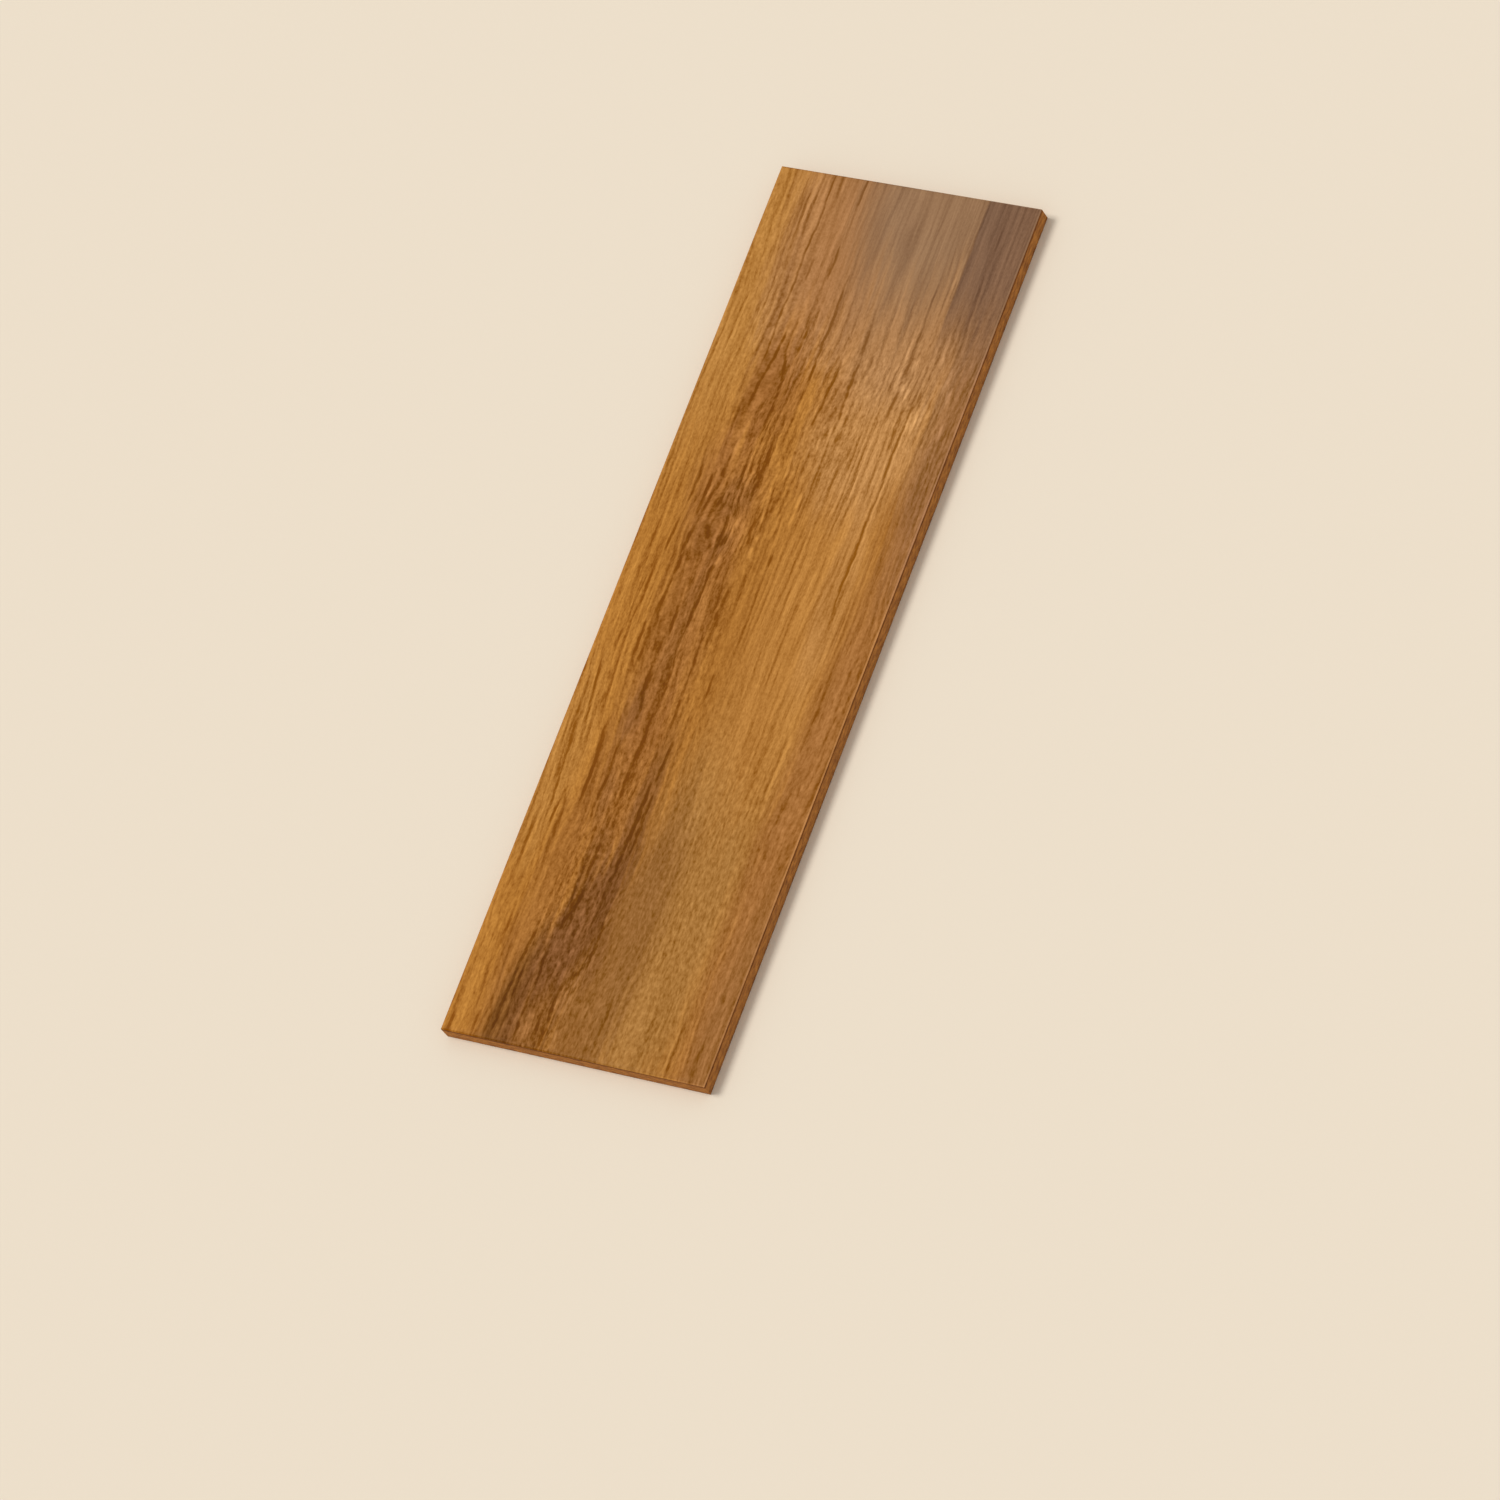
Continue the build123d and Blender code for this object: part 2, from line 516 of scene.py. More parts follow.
class StageProperties(bpy.types.PropertyGroup):
    """The camera, the floor and the light"""

    floor_colour: tone("Floor colour", "The floor and the background", "#F0E2CD")
    floor_radius: FloatProperty(
        name="Floor radius",
        description="Half the width of the round floor, so wide that its rim is out of sight",
        default=60.0,
        unit="LENGTH",
    )
    fill_strength: FloatProperty(
        name="Fill strength",
        description="Even light from all round",
        default=0.52,
        min=0.0,
        max=1.0,
        subtype="FACTOR",
    )
    key_strength: FloatProperty(
        name="Key strength",
        description="Soft light from the left of the picture",
        default=1.63,
        min=0.0,
    )
    key_direction: FloatVectorProperty(
        name="Key direction",
        description="From the plank towards the key light",
        default=(-0.5, -0.06, 0.85),
        subtype="DIRECTION",
    )
    key_angle: FloatProperty(
        name="Key width",
        description="How wide the key light looks from the plank, which softens the shadow",
        default=math.radians(24),
        subtype="ANGLE",
        unit="ROTATION",
    )
    camera_distance: FloatProperty(
        name="Camera distance",
        description="From the camera to the face of the plank",
        default=5.634,
        unit="LENGTH",
    )
    camera_azimuth: FloatProperty(
        name="Camera azimuth",
        description="Round from straight in front of the near end, towards the right",
        default=math.radians(56.39),
        subtype="ANGLE",
        unit="ROTATION",
    )
    camera_elevation: FloatProperty(
        name="Camera elevation",
        description="Height of the camera above the floor, as an angle",
        default=math.radians(56.09),
        subtype="ANGLE",
        unit="ROTATION",
    )
    camera_roll: FloatProperty(
        name="Camera roll",
        description="How far the camera is rolled to its right",
        default=math.radians(39.92),
        subtype="ANGLE",
        unit="ROTATION",
    )
    camera_aim: FloatVectorProperty(
        name="Camera aim",
        description="Point on the face that the picture is centred on, from the middle of the face",
        default=(39.12 * MM, -87.17 * MM),
        size=2,
        subtype="XYZ",
        unit="LENGTH",
    )
    camera_lens: FloatProperty(
        name="Camera lens",
        description="Focal length in millimetres on a 36 mm wide sensor",
        default=218.64,
        unit="CAMERA",
    )


def add_node(tree, kind, inputs=None, out=0, **settings):
    """Add a node, set its properties, fill or link its inputs, and return one of its outputs, if any."""
    node = tree.nodes.new(kind)
    for name, value in settings.items():
        setattr(node, name, value)
    for key, value in (inputs or {}).items():
        if isinstance(value, bpy.types.NodeSocket):
            tree.links.new(value, node.inputs[key])
        else:
            node.inputs[key].default_value = value
    return node.outputs[out] if len(node.outputs) else None


def weigh(tree, *terms, base=0.0):
    """Add to the base some values, each times its weight, which may be a value too."""
    total = base
    for value, weight in terms:
        total = add_node(
            tree, "ShaderNodeMath", {0: value, 1: weight, 2: total}, operation="MULTIPLY_ADD",
        )
    return total


def in_millimetres(tree, point):
    """Where a point lies on the face, in millimetres from the near left corner."""
    return add_node(
        tree, "ShaderNodeVectorMath",
        {0: point, 1: (1 / MM, 1 / MM, 1 / MM), 2: (WIDTH / 2, LENGTH / 2, 0)},
        operation="MULTIPLY_ADD",
    )


def fibres(tree, place, across, along, detail=2.0, roughness=0.5, seed=0.0):
    """Noise drawn out along the grain, with features so many mm across and along."""
    stretched = add_node(
        tree, "ShaderNodeVectorMath", {0: place, 1: (1 / across, 1 / along, 0), 2: (seed, -seed, 0)},
        operation="MULTIPLY_ADD",
    )
    return add_node(
        tree, "ShaderNodeTexNoise",
        {"Vector": stretched, "Scale": 1.0, "Detail": detail, "Roughness": roughness},
        noise_dimensions="2D",
    )


def soft_patch(tree, place, ellipse, fade, values, lean=0.0, fray=None):
    """A value that goes from one to the other as a place comes closer to the middle of an ellipse.

    The fade is the two distances between which it changes, where 1 is on the ellipse's rim. The
    fray, a value and its weight, moves the border in and out.
    """
    across, along, half_width, half_length = ellipse
    offset = add_node(
        tree, "ShaderNodeVectorMath", {0: place, 1: (across, along, 0)}, operation="SUBTRACT",
    )
    if lean:
        offset = add_node(
            tree, "ShaderNodeVectorRotate", {"Vector": offset, "Angle": math.radians(lean)},
            rotation_type="Z_AXIS",
        )
    scaled = add_node(
        tree, "ShaderNodeVectorMath", {0: offset, 1: (1 / half_width, 1 / half_length, 0)},
        operation="MULTIPLY",
    )
    distance = add_node(tree, "ShaderNodeVectorMath", {0: scaled}, out="Value", operation="LENGTH")
    if fray:
        distance = weigh(tree, fray, base=distance)
    start, full = fade
    outside, inside = values
    return add_node(
        tree, "ShaderNodeMapRange", {0: distance, 1: start, 2: full, 3: outside, 4: inside},
        interpolation_type="SMOOTHSTEP",
    )


def shifted(tree, place, shift):
    """Move the place across the grain."""
    sideways = add_node(tree, "ShaderNodeCombineXYZ", {0: shift})
    return add_node(tree, "ShaderNodeVectorMath", {0: place, 1: sideways}, operation="ADD")


def bent(tree, place, bends, seed):
    """Bend the grain sideways by smooth noise."""
    for number, (across, along, swing) in enumerate(bends):
        noise = fibres(tree, place, across, along, detail=1.0, seed=seed + 7.0 * number)
        place = shifted(tree, place, weigh(tree, (noise, 4 * swing), base=-2 * swing))
    return place


def leaned(tree, place):
    """Carry the sapwood's grain to the left along the middle of the plank."""
    across, along, _ = add_node(tree, "ShaderNodeSeparateXYZ", {0: place}).node.outputs
    rise = add_node(
        tree, "ShaderNodeMapRange", {0: along, 1: LEAN_FROM, 2: LEAN_TO, 3: 0.0, 4: LEAN_SHIFT},
        interpolation_type="SMOOTHSTEP",
    )
    near_side = add_node(
        tree, "ShaderNodeMapRange",
        {0: across, 1: LEAN_FADE_FROM, 2: LEAN_FADE_TO, 3: 1.0, 4: 0.0},
        interpolation_type="SMOOTHSTEP",
    )
    return shifted(tree, place, weigh(tree, (rise, near_side)))


def round_knots(tree, place):
    """Swing the grain round each knot."""
    for *ellipse, push in KNOTS:
        grip = soft_patch(tree, place, ellipse, KNOT_FADE, (0.0, -push))
        offset = add_node(tree, "ShaderNodeSeparateXYZ", {0: place})
        offset = add_node(tree, "ShaderNodeMath", {0: offset, 1: ellipse[0]}, operation="SUBTRACT")
        place = shifted(tree, place, weigh(tree, (offset, grip)))
    return place


def growth_rings(tree, grain):
    """Growth rings cut lengthwise: near-even lines that crowd, spread and fade. 1 is on a line."""
    across = add_node(tree, "ShaderNodeSeparateXYZ", {0: grain})
    drift = fibres(tree, grain, 16.0, 180.0, detail=1.0, seed=63.0)
    wobble = fibres(tree, grain, 4.0, 26.0, detail=1.0, seed=71.0)
    turn = weigh(tree, (across, math.tau / RING_WIDTH), (drift, 14.0), (wobble, 4.0))
    wave = add_node(tree, "ShaderNodeMath", {0: turn}, operation="SINE")
    on_line = add_node(
        tree, "ShaderNodeMapRange", {0: wave, 1: -0.6, 2: 1.0, 3: 0.0, 4: 1.0},
        interpolation_type="SMOOTHSTEP",
    )
    clearness = fibres(tree, grain, 9.0, 50.0, detail=1.0, seed=83.0)
    clearness = add_node(
        tree, "ShaderNodeMapRange", {0: clearness, 1: 0.36, 2: 0.62, 3: 0.15, 4: 1.0},
        interpolation_type="SMOOTHSTEP",
    )
    return weigh(tree, (on_line, clearness))


def strands(tree, place, grain):
    """Soft strands of light and dark wood, short in the olive patch and straight at the far end."""
    short = fibres(tree, grain, 2.1, 5.0, detail=1.5, roughness=0.5, seed=17.0)
    long = fibres(tree, grain, 2.1, 8.0, detail=2.0, roughness=0.55, seed=29.0)
    share = soft_patch(tree, place, SHORT_STRANDS, SHORT_FADE, (0.35, 0.8))
    usual = add_node(tree, "ShaderNodeMix", {0: share, 2: long, 3: short}, data_type="FLOAT")
    straight = fibres(tree, leaned(tree, place), 1.9, 75.0, detail=2.0, roughness=0.6, seed=53.0)
    share = 0.0
    for *ellipse, most in STRAIGHT_STRANDS:
        cover = soft_patch(tree, place, ellipse, STRAIGHT_FADE, (0.0, most))
        share = add_node(tree, "ShaderNodeMath", {0: cover, 1: share}, operation="MAXIMUM")
    return add_node(tree, "ShaderNodeMix", {0: share, 2: usual, 3: straight}, data_type="FLOAT")


def dark_corner(tree, place):
    """How far a place lies in the dark corner."""
    line, softness, start, full, strength = DARK_CORNER
    across, along, _ = add_node(tree, "ShaderNodeSeparateXYZ", {0: place}).node.outputs
    beyond = add_node(
        tree, "ShaderNodeMapRange",
        {0: across, 1: line - softness, 2: line + softness, 3: 0.0, 4: 1.0},
        interpolation_type="SMOOTHSTEP",
    )
    risen = add_node(
        tree, "ShaderNodeMapRange", {0: along, 1: start, 2: full, 3: 0.0, 4: strength},
        interpolation_type="SMOOTHSTEP",
    )
    return weigh(tree, (beyond, risen))


def printed_tone(tree, place, broad, streak, tones):
    """Patches of tone laid over each other, frayed along the streaks."""
    fray = weigh(tree, (broad, 0.8), (streak, 0.6), base=-0.7)
    covers = []
    for name, *ellipse, lean, strength, frayed in PATCHES:
        cover = soft_patch(tree, place, ellipse, TONE_FADE, (0.0, strength), lean, (fray, frayed))
        covers.append((name, cover))
    covers.append(("plum_and_sheen", dark_corner(tree, place)))
    colour = tones.ground
    for name, cover in covers:
        colour = add_node(
            tree, "ShaderNodeMix", {0: cover, 6: colour, 7: getattr(tones, name)},
            out=2, data_type="RGBA",
        )
    return colour


def bold_grain(tree, place):
    """How bold the grain is at a place."""
    bold = PLAIN_GRAIN
    for *ellipse, most in BOLD_PATCHES:
        more = soft_patch(tree, place, ellipse, BOLD_FADE, (0.0, most))
        bold = add_node(tree, "ShaderNodeMath", {0: more, 1: bold}, operation="ADD")
    return bold


def wood_figure(tree, place, tones):
    """The figure on the face: what the print shows and how deep the press plate's grain is there.

    Each base brings its sum to about 0 in plain wood.
    """
    rippled = bent(tree, place, RIPPLES, seed=3.0)
    grain = round_knots(tree, leaned(tree, bent(tree, rippled, WANDERS, seed=31.0)))
    broad = fibres(tree, grain, 7.0, 120.0, detail=2.0, seed=23.0)
    streak = fibres(tree, grain, 2.7, 55.0, detail=1.0, seed=11.0)
    strand = strands(tree, place, grain)
    rings = growth_rings(tree, grain)
    # A dark line is stronger where its strand is dark, so it breaks up as real grain does
    marks = add_node(tree, "GeometryNodeInputNamedAttribute", {"Name": "dark_lines"}, data_type="FLOAT")
    strength = add_node(
        tree, "ShaderNodeMapRange", {0: strand, 1: 0.35, 2: 0.6, 3: 1.2, 4: 0.75},
        interpolation_type="SMOOTHSTEP",
    )
    marks = weigh(tree, (marks, strength))
    pale = add_node(tree, "GeometryNodeInputNamedAttribute", {"Name": "pale_lines"}, data_type="FLOAT")
    # The rest of the grain is calmer on a dark line, and so is the streak where strands are short
    calm = weigh(tree, (marks, -0.35), base=1.0)
    bold = weigh(tree, (bold_grain(tree, place), calm))
    drawn_out = weigh(tree, (streak, 0.5), (rings, -0.26), base=-0.165)
    drawn_out = weigh(tree, (drawn_out, soft_patch(tree, place, SHORT_STRANDS, SHORT_FADE, (1.0, 0.5))))
    relief = weigh(tree, (streak, 0.8), (strand, 0.9), (rings, -0.2), base=-0.8)
    shift = add_node(tree, "ShaderNodeVectorMath", {0: grain, 1: place}, operation="SUBTRACT")
    return {
        "tone": printed_tone(tree, rippled, broad, streak, tones),
        "light": weigh(tree, (drawn_out, bold), (broad, 0.45), (marks, -0.55), (pale, 0.38)),
        "bold": bold,
        "shift": add_node(tree, "ShaderNodeSeparateXYZ", {0: shift}),
        "relief": weigh(tree, (relief, bold), (marks, -0.35)),
    }


def new_material(name):
    """An empty material and its node tree."""
    material = bpy.data.materials.new(name)
    material.use_nodes = True
    material.node_tree.nodes.clear()
    return material, material.node_tree


def print_colour(tree, lifts):
    """The printed decor paper: its tone, its lighter and darker streaks, and the finest strands.

    The base brings the fine strands to about 0 in plain wood.
    """
    place = in_millimetres(tree, add_node(tree, "ShaderNodeTexCoord", out="Object"))
    tone, light, bold, shift = (
        add_node(tree, "ShaderNodeAttribute", out=out, attribute_name=name) for name, _, out in LAYERS
    )
    left, right, rim = lifts
    across = add_node(tree, "ShaderNodeSeparateXYZ", {0: place})
    # On the bevel the print grows lighter to the right and brightest at the right rim: a painted highlight
    # where the arris catches the light. On the face the rim adds nothing.
    lift = add_node(
        tree, "ShaderNodeMapRange", {0: across, 1: LEFT_ENDS, 2: WIDTH, 3: left, 4: right},
        interpolation_type="SMOOTHSTEP",
    )
    painted_rim_highlight = add_node(
        tree, "ShaderNodeMapRange", {0: across, 1: RIM_HIGHLIGHT_STARTS, 2: RIM_HIGHLIGHT_FULL, 3: 0.0, 4: rim},
        interpolation_type="SMOOTHSTEP",
    )
    grain = shifted(tree, place, shift)
    fleck = fibres(tree, grain, 1.0, 2.2, detail=1.5, roughness=0.6, seed=41.0)
    fine = weigh(tree, (strands(tree, place, grain), 1.2), (fleck, 0.55), base=-0.875)
    light = weigh(tree, (fine, bold), (light, 1.0), (lift, 1.0), (painted_rim_highlight, 1.0))
    light = add_node(
        tree, "ShaderNodeMath", {0: light, 1: DARKEST, 2: LIMIT_SOFTNESS}, operation="SMOOTH_MAX",
    )
    red, _, blue = add_node(tree, "ShaderNodeSeparateColor", {0: tone}).node.outputs
    greyness = add_node(tree, "ShaderNodeMath", {0: blue, 1: red}, operation="DIVIDE")
    ink = DARK_INK
    for measure, (start, full), next_ink in ((red, DARK_TO_INK, INK), (greyness, INK_TO_GREY, GREY_INK)):
        share = add_node(
            tree, "ShaderNodeMapRange", {0: measure, 1: start, 2: full, 3: 0.0, 4: 1.0},
            interpolation_type="SMOOTHSTEP",
        )
        ink = add_node(tree, "ShaderNodeMix", {0: share, 4: ink, 5: next_ink}, out=1, data_type="VECTOR")
    ink = add_node(tree, "ShaderNodeVectorMath", {0: light, 1: ink, 2: (1, 1, 1)}, operation="MULTIPLY_ADD")
    ink = add_node(tree, "ShaderNodeVectorMath", {0: ink}, operation="MAXIMUM")
    colour = add_node(tree, "ShaderNodeVectorMath", {0: tone, 1: ink}, operation="MULTIPLY")
    return colour, fleck


def laminate_material(name, lifts):
    """Melamine overlay on printed decor paper, hot-pressed against a textured plate.

    It gives a smooth satin plastic skin over sharp print, with the grain pressed into it. The lifts darken
    or lighten the print by place; on the bevel they also paint a highlight on its right side and rim.
    """
    material, tree = new_material(name)
    colour, fleck = print_colour(tree, lifts)
    bump = add_node(tree, "ShaderNodeBump", {"Strength": 0.6, "Distance": 0.1 * MM, "Height": fleck})
    shader = add_node(
        tree, "ShaderNodeBsdfPrincipled",
        {
            "Base Color": colour, "Roughness": 0.5, "IOR": 1.5,
            "Specular IOR Level": 0.05, "Normal": bump,
        },
    )
    add_node(tree, "ShaderNodeOutputMaterial", {"Surface": shader})
    return material


def fibreboard_material(tones):
    """High-density fibreboard, sawn: fine matt wood dust and resin, darker in its pressed skins.

    Its real fibres are thinner than 1 mm, too fine to show, so the mottle is drawn as lumps of
    about 6 by 2 mm.
    """
    material, tree = new_material("fibreboard_sawn_edge")
    place = in_millimetres(tree, add_node(tree, "ShaderNodeTexCoord", out="Object"))
    height = add_node(tree, "ShaderNodeSeparateXYZ", {0: place}, out=2)
    flattened = add_node(tree, "ShaderNodeVectorMath", {0: place, 1: MOTTLE_PER_MM}, operation="MULTIPLY")
    mottle = add_node(
        tree, "ShaderNodeTexNoise", {"Vector": flattened, "Scale": 1.0, "Detail": 4.0, "Roughness": 0.6},
    )
    start, full, strength = UPPER_SKIN
    upper = add_node(
        tree, "ShaderNodeMapRange",
        {0: height, 1: THICKNESS - start, 2: THICKNESS - full, 3: 0.0, 4: strength},
        interpolation_type="SMOOTHSTEP",
    )
    start, full, strength = LOWER_SKIN
    lower = add_node(
        tree, "ShaderNodeMapRange", {0: height, 1: start, 2: full, 3: 0.0, 4: strength},
        interpolation_type="SMOOTHSTEP",
    )
    skins = add_node(tree, "ShaderNodeMath", {0: upper, 1: lower}, operation="MAXIMUM")
    colour = add_node(
        tree, "ShaderNodeMix", {0: skins, 6: tones.core, 7: tones.skin}, out=2, data_type="RGBA",
    )
    shade = add_node(
        tree, "ShaderNodeVectorMath", {0: mottle, 1: MOTTLE_RISE, 2: MOTTLE_LOW},
        operation="MULTIPLY_ADD",
    )
    colour = add_node(tree, "ShaderNodeVectorMath", {0: colour, 1: shade}, operation="MULTIPLY")
    bump = add_node(tree, "ShaderNodeBump", {"Strength": 0.4, "Distance": 0.1 * MM, "Height": mottle})
    shader = add_node(
        tree, "ShaderNodeBsdfPrincipled",
        {
            "Base Color": colour, "Roughness": 0.8, "IOR": 1.45,
            "Specular IOR Level": 0.1, "Normal": bump,
        },
    )
    add_node(tree, "ShaderNodeOutputMaterial", {"Surface": shader})
    return material


def backing_material(tones):
    """Kraft balancing paper soaked in melamine and pressed flat: plain brown with a dull sheen."""
    material, tree = new_material("kraft_backing_paper")
    place = in_millimetres(tree, add_node(tree, "ShaderNodeTexCoord", out="Object"))
    cloud = add_node(
        tree, "ShaderNodeTexNoise", {"Vector": place, "Scale": CLOUDS_PER_MM, "Detail": 5.0},
    )
    colour = add_node(
        tree, "ShaderNodeVectorMath",
        {0: tones.backing[:3], "Scale": weigh(tree, (cloud, 0.4), base=0.8)}, operation="SCALE",
    )
    bump = add_node(tree, "ShaderNodeBump", {"Strength": 0.3, "Distance": 0.05 * MM, "Height": cloud})
    shader = add_node(
        tree, "ShaderNodeBsdfPrincipled",
        {"Base Color": colour, "Roughness": 0.6, "IOR": 1.5, "Normal": bump},
    )
    add_node(tree, "ShaderNodeOutputMaterial", {"Surface": shader})
    return material


def lay_figure(piece, tones, depth):
    """Lay the figure out on the mesh for the print, press its grain into the face, and keep the result."""
    tree = bpy.data.node_groups.new("press_plate", "GeometryNodeTree")
    for in_out in ("INPUT", "OUTPUT"):
        tree.interface.new_socket("Geometry", in_out=in_out, socket_type="NodeSocketGeometry")
    board = add_node(tree, "NodeGroupInput")
    point = add_node(tree, "GeometryNodeInputPosition")
    figure = wood_figure(tree, in_millimetres(tree, point), tones)
    for name, data_type, _ in LAYERS:
        board = add_node(
            tree, "GeometryNodeStoreNamedAttribute",
            {"Geometry": board, "Name": name, "Value": figure[name]}, data_type=data_type,
        )
    sunk = add_node(
        tree, "ShaderNodeMapRange",
        {0: figure["relief"], 1: LEVEL_RELIEF, 2: DEEPEST_RELIEF, 3: 0.0, 4: -depth},
    )
    height = add_node(tree, "ShaderNodeSeparateXYZ", {0: point}, out=2)
    just_below_face = HIGH.z - 0.01 * MM
    on_face = add_node(
        tree, "ShaderNodeMath", {0: height, 1: just_below_face}, operation="GREATER_THAN",
    )
    offset = add_node(tree, "ShaderNodeCombineXYZ", {2: sunk})
    pressed = add_node(
        tree, "GeometryNodeSetPosition", {"Geometry": board, "Selection": on_face, "Offset": offset},
    )
    add_node(tree, "NodeGroupOutput", {0: pressed})
    modifier = piece.modifiers.new("press", "NODES")
    modifier.node_group = tree
    depsgraph = bpy.context.evaluated_depsgraph_get()
    mesh = bpy.data.meshes.new_from_object(piece.evaluated_get(depsgraph))
    piece.modifiers.clear()
    bpy.data.node_groups.remove(tree)
    flat_mesh = piece.data
    piece.data = mesh
    bpy.data.meshes.remove(flat_mesh)
    mesh.name = piece.name


def draw_lines(mesh):
    """Draw the single grain lines on the mesh as two layers, 1 on the middle of the boldest line."""
    spots = np.empty(3 * len(mesh.vertices), dtype=np.float32)
    mesh.vertices.foreach_get("co", spots)
    across, along, _ = (spots.reshape(-1, 3) / MM + (WIDTH / 2, LENGTH / 2, 0)).T
    for name, groups in LINE_LAYERS.items():
        drawn = np.zeros(len(across), dtype=np.float32)
        for lines, strength in groups:
            for from_across, from_along, to_across, to_along, half_width in lines:
                ahead = (2 * along - from_along - to_along) / (to_along - from_along)
                middle = from_across + (to_across - from_across) * (ahead + 1) / 2
                for length, swing in LINE_WAVES:
                    middle = middle + swing * np.sin(along * math.tau / length + 3 * from_across)
                distance = ((across - middle) / half_width) ** 2 + ahead ** 4
                near = np.clip(1 - distance / LINE_REACH, 0, 1)
                drawn = np.maximum(drawn, strength * near * near * (3 - 2 * near))
        layer = mesh.attributes.new(name, "FLOAT", "POINT")
        layer.data.foreach_set("value", drawn)


def rim_step(bm, rim, width, length, height):
    """Carry the open rim on to a rectangle of that width and length at that height."""
    grown = bmesh.ops.extrude_edge_only(bm, edges=rim)["geom"]
    verts = [g for g in grown if isinstance(g, bmesh.types.BMVert)]
    edges = [g for g in grown if isinstance(g, bmesh.types.BMEdge)]
    across = max(v.co.x for v in verts)
    along = max(v.co.y for v in verts)
    bmesh.ops.scale(bm, vec=(width / 2 / across, length / 2 / along, 1.0), verts=verts)
    bmesh.ops.translate(bm, vec=(0, 0, height - verts[0].co.z), verts=verts)
    return edges


def plank_mesh(props):
    """One closed skin: the face as a fine grid, then bevel, sawn edges, back ease and underside."""
    width, length = HIGH.x - LOW.x, HIGH.y - LOW.y
    face_width = width - 2 * props.bevel_leg
    face_length = length - 2 * props.bevel_leg
    bm = bmesh.new()
    bmesh.ops.create_grid(
        bm,
        x_segments=round(face_width / props.cell_across),
        y_segments=round(face_length / props.cell_along),
        size=0.5,
    )
    bmesh.ops.scale(bm, vec=(face_width, face_length, 1.0), verts=bm.verts)
    bmesh.ops.translate(bm, vec=(0, 0, HIGH.z), verts=bm.verts)
    rim = [e for e in bm.edges if e.is_boundary]
    shoulder = HIGH.z - props.bevel_leg
    rim = rim_step(bm, rim, width, length, shoulder)
    for row in range(1, EDGE_ROWS + 1):
        drop = (shoulder - props.back_ease) * row / EDGE_ROWS
        rim = rim_step(bm, rim, width, length, shoulder - drop)
    rim = rim_step(bm, rim, width - 2 * props.back_ease, length - 2 * props.back_ease, LOW.z)
    bmesh.ops.contextual_create(bm, geom=rim)
    bmesh.ops.recalc_face_normals(bm, faces=bm.faces)
    for face in bm.faces:
        if face.normal.z > 0.9:
            face.material_index = FACE
            face.smooth = True
        elif face.calc_center_median().z > shoulder:
            face.material_index = BEVEL
        elif face.normal.z < -0.9:
            face.material_index = BACK
        else:
            face.material_index = SAWN
    mesh = bpy.data.meshes.new("plank")
    bm.to_mesh(mesh)
    bm.free()
    return mesh


class PLANK_OT_plank(bpy.types.Operator):
    """Build the plank, print its decor and press the grain into it"""

    bl_idname = "plank.build_plank"
    bl_label = "Plank"

    def execute(self, context):
        props = context.scene.plank
        tones = context.scene.plank_tones
        piece = bpy.data.objects.new("plank", plank_mesh(props))
        context.scene.collection.objects.link(piece)
        draw_lines(piece.data)
        for material in (
            laminate_material("melamine_laminate", FACE_LIFTS),
            # The bevel's own copy of the laminate carries the painted highlight of the arris.
            laminate_material("melamine_laminate_bevel_highlight", BEVEL_LIFTS_AND_HIGHLIGHT),
            fibreboard_material(tones),
            backing_material(tones),
        ):
            piece.data.materials.append(material)
        lay_figure(piece, tones, props.emboss_depth)
        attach(piece, "root")
        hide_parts(NODE)
        return {"FINISHED"}


class PLANK_OT_stage(bpy.types.Operator):
    """Set up the floor, the light and the camera"""

    bl_idname = "plank.build_stage"
    bl_label = "Stage"

    def execute(self, context):
        scene = context.scene
        props = scene.plank_stage
        scene.view_settings.view_transform = "Standard"
        build_floor(scene, props)
        build_light(scene, props)
        build_camera(scene, props)
        return {"FINISHED"}


def build_floor(scene, props):
    """A large pale floor with a matt finish."""
    bm = bmesh.new()
    bmesh.ops.create_circle(bm, cap_ends=True, segments=64, radius=props.floor_radius)
    mesh = bpy.data.meshes.new("floor")
    bm.to_mesh(mesh)
    bm.free()
    floor = bpy.data.objects.new("floor", mesh)
    scene.collection.objects.link(floor)
    material, tree = new_material("matt_cream_floor")
    shader = add_node(
        tree, "ShaderNodeBsdfPrincipled",
        {"Base Color": props.floor_colour, "Roughness": 0.9, "Specular IOR Level": 0.2},
    )
    add_node(tree, "ShaderNodeOutputMaterial", {"Surface": shader})
    mesh.materials.append(material)


def build_light(scene, props):
    """One broad soft key from the left of the picture and an even fill from all round."""
    world = bpy.data.worlds.new("studio")
    world.use_nodes = True
    tree = world.node_tree
    tree.nodes.clear()
    seen = 0.0
    for ray in ("Is Camera Ray", "Is Glossy Ray", "Is Transmission Ray"):
        hit = add_node(tree, "ShaderNodeLightPath", out=ray)
        seen = add_node(tree, "ShaderNodeMath", {0: hit, 1: seen}, operation="MAXIMUM")
    strength = add_node(tree, "ShaderNodeMapRange", {0: seen, 3: props.fill_strength, 4: 1.0})
    colour = add_node(
        tree, "ShaderNodeMix", {0: seen, 6: linear("#FFFFFF"), 7: props.floor_colour},
        out=2, data_type="RGBA",
    )
    background = add_node(tree, "ShaderNodeBackground", {"Color": colour, "Strength": strength})
    add_node(tree, "ShaderNodeOutputWorld", {"Surface": background})
    scene.world = world
    key = bpy.data.lights.new("key", "SUN")
    key.energy = props.key_strength
    key.angle = props.key_angle
    lamp = bpy.data.objects.new("key", key)
    lamp.rotation_euler = Vector(props.key_direction).to_track_quat("Z", "Y").to_euler()
    scene.collection.objects.link(lamp)


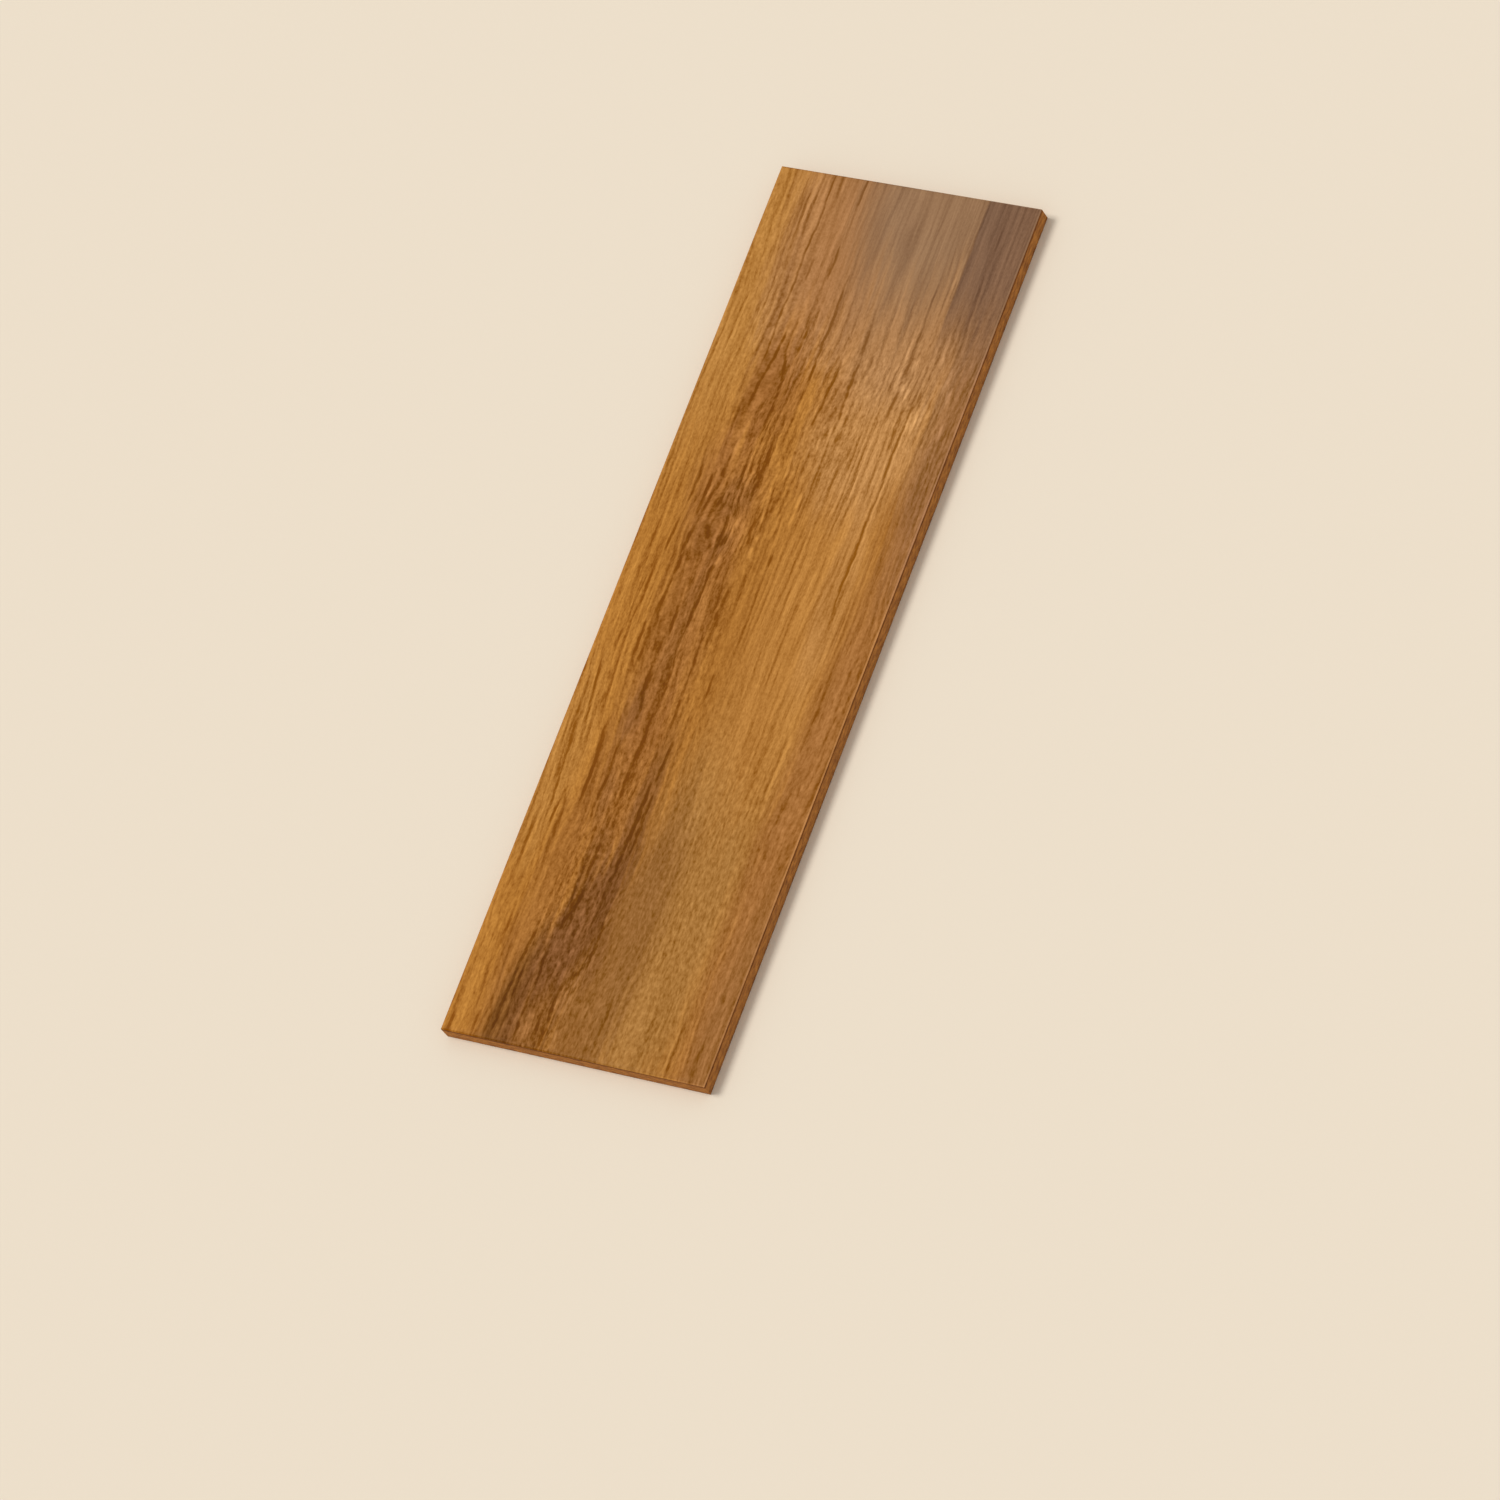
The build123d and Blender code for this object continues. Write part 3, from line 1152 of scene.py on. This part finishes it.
def build_camera(scene, props):
    """Look down on the plank as the picture does, rolled to the right."""
    level = math.cos(props.camera_elevation)
    towards_camera = Vector((
        level * math.sin(props.camera_azimuth),
        -level * math.cos(props.camera_azimuth),
        math.sin(props.camera_elevation),
    ))
    aim = Vector((*props.camera_aim, HIGH.z))
    camera = bpy.data.cameras.new("camera")
    camera.lens = props.camera_lens
    camera.sensor_width = 36.0
    camera.clip_end = 200.0
    view = bpy.data.objects.new("camera", camera)
    view.location = aim + towards_camera * props.camera_distance
    roll = Quaternion((0, 0, 1), -props.camera_roll)
    view.rotation_mode = "QUATERNION"
    view.rotation_quaternion = towards_camera.to_track_quat("Z", "Y") @ roll
    scene.collection.objects.link(view)
    scene.camera = view


class PLANK_PT_sidebar(bpy.types.Panel):
    """The plank's sizes and the buttons that build it"""

    bl_idname = "PLANK_PT_sidebar"
    bl_label = "Laminate floor plank"
    bl_space_type = "VIEW_3D"
    bl_region_type = "UI"
    bl_category = "Plank"

    def draw(self, context):
        for props in (context.scene.plank, context.scene.plank_tones, context.scene.plank_stage):
            for name in type(props).__annotations__:
                self.layout.prop(props, name)
        for operator in (PLANK_OT_stage, PLANK_OT_plank):
            self.layout.operator(operator.bl_idname)


CLASSES = (
    ToneProperties,
    PlankProperties,
    StageProperties,
    PLANK_OT_stage,
    PLANK_OT_plank,
    PLANK_PT_sidebar,
)


def register():
    """Register the classes and give the scene their settings."""
    for cls in CLASSES:
        bpy.utils.register_class(cls)
    bpy.types.Scene.plank = PointerProperty(type=PlankProperties)
    bpy.types.Scene.plank_tones = PointerProperty(type=ToneProperties)
    bpy.types.Scene.plank_stage = PointerProperty(type=StageProperties)


def unregister():
    """Take the settings and the classes away again."""
    del bpy.types.Scene.plank_stage
    del bpy.types.Scene.plank_tones
    del bpy.types.Scene.plank
    for cls in reversed(CLASSES):
        bpy.utils.unregister_class(cls)


def main():
    """Build the stage and the plank."""
    register()
    bpy.ops.plank.build_stage()
    bpy.ops.plank.build_plank()


if __name__ == "__main__":
    main()
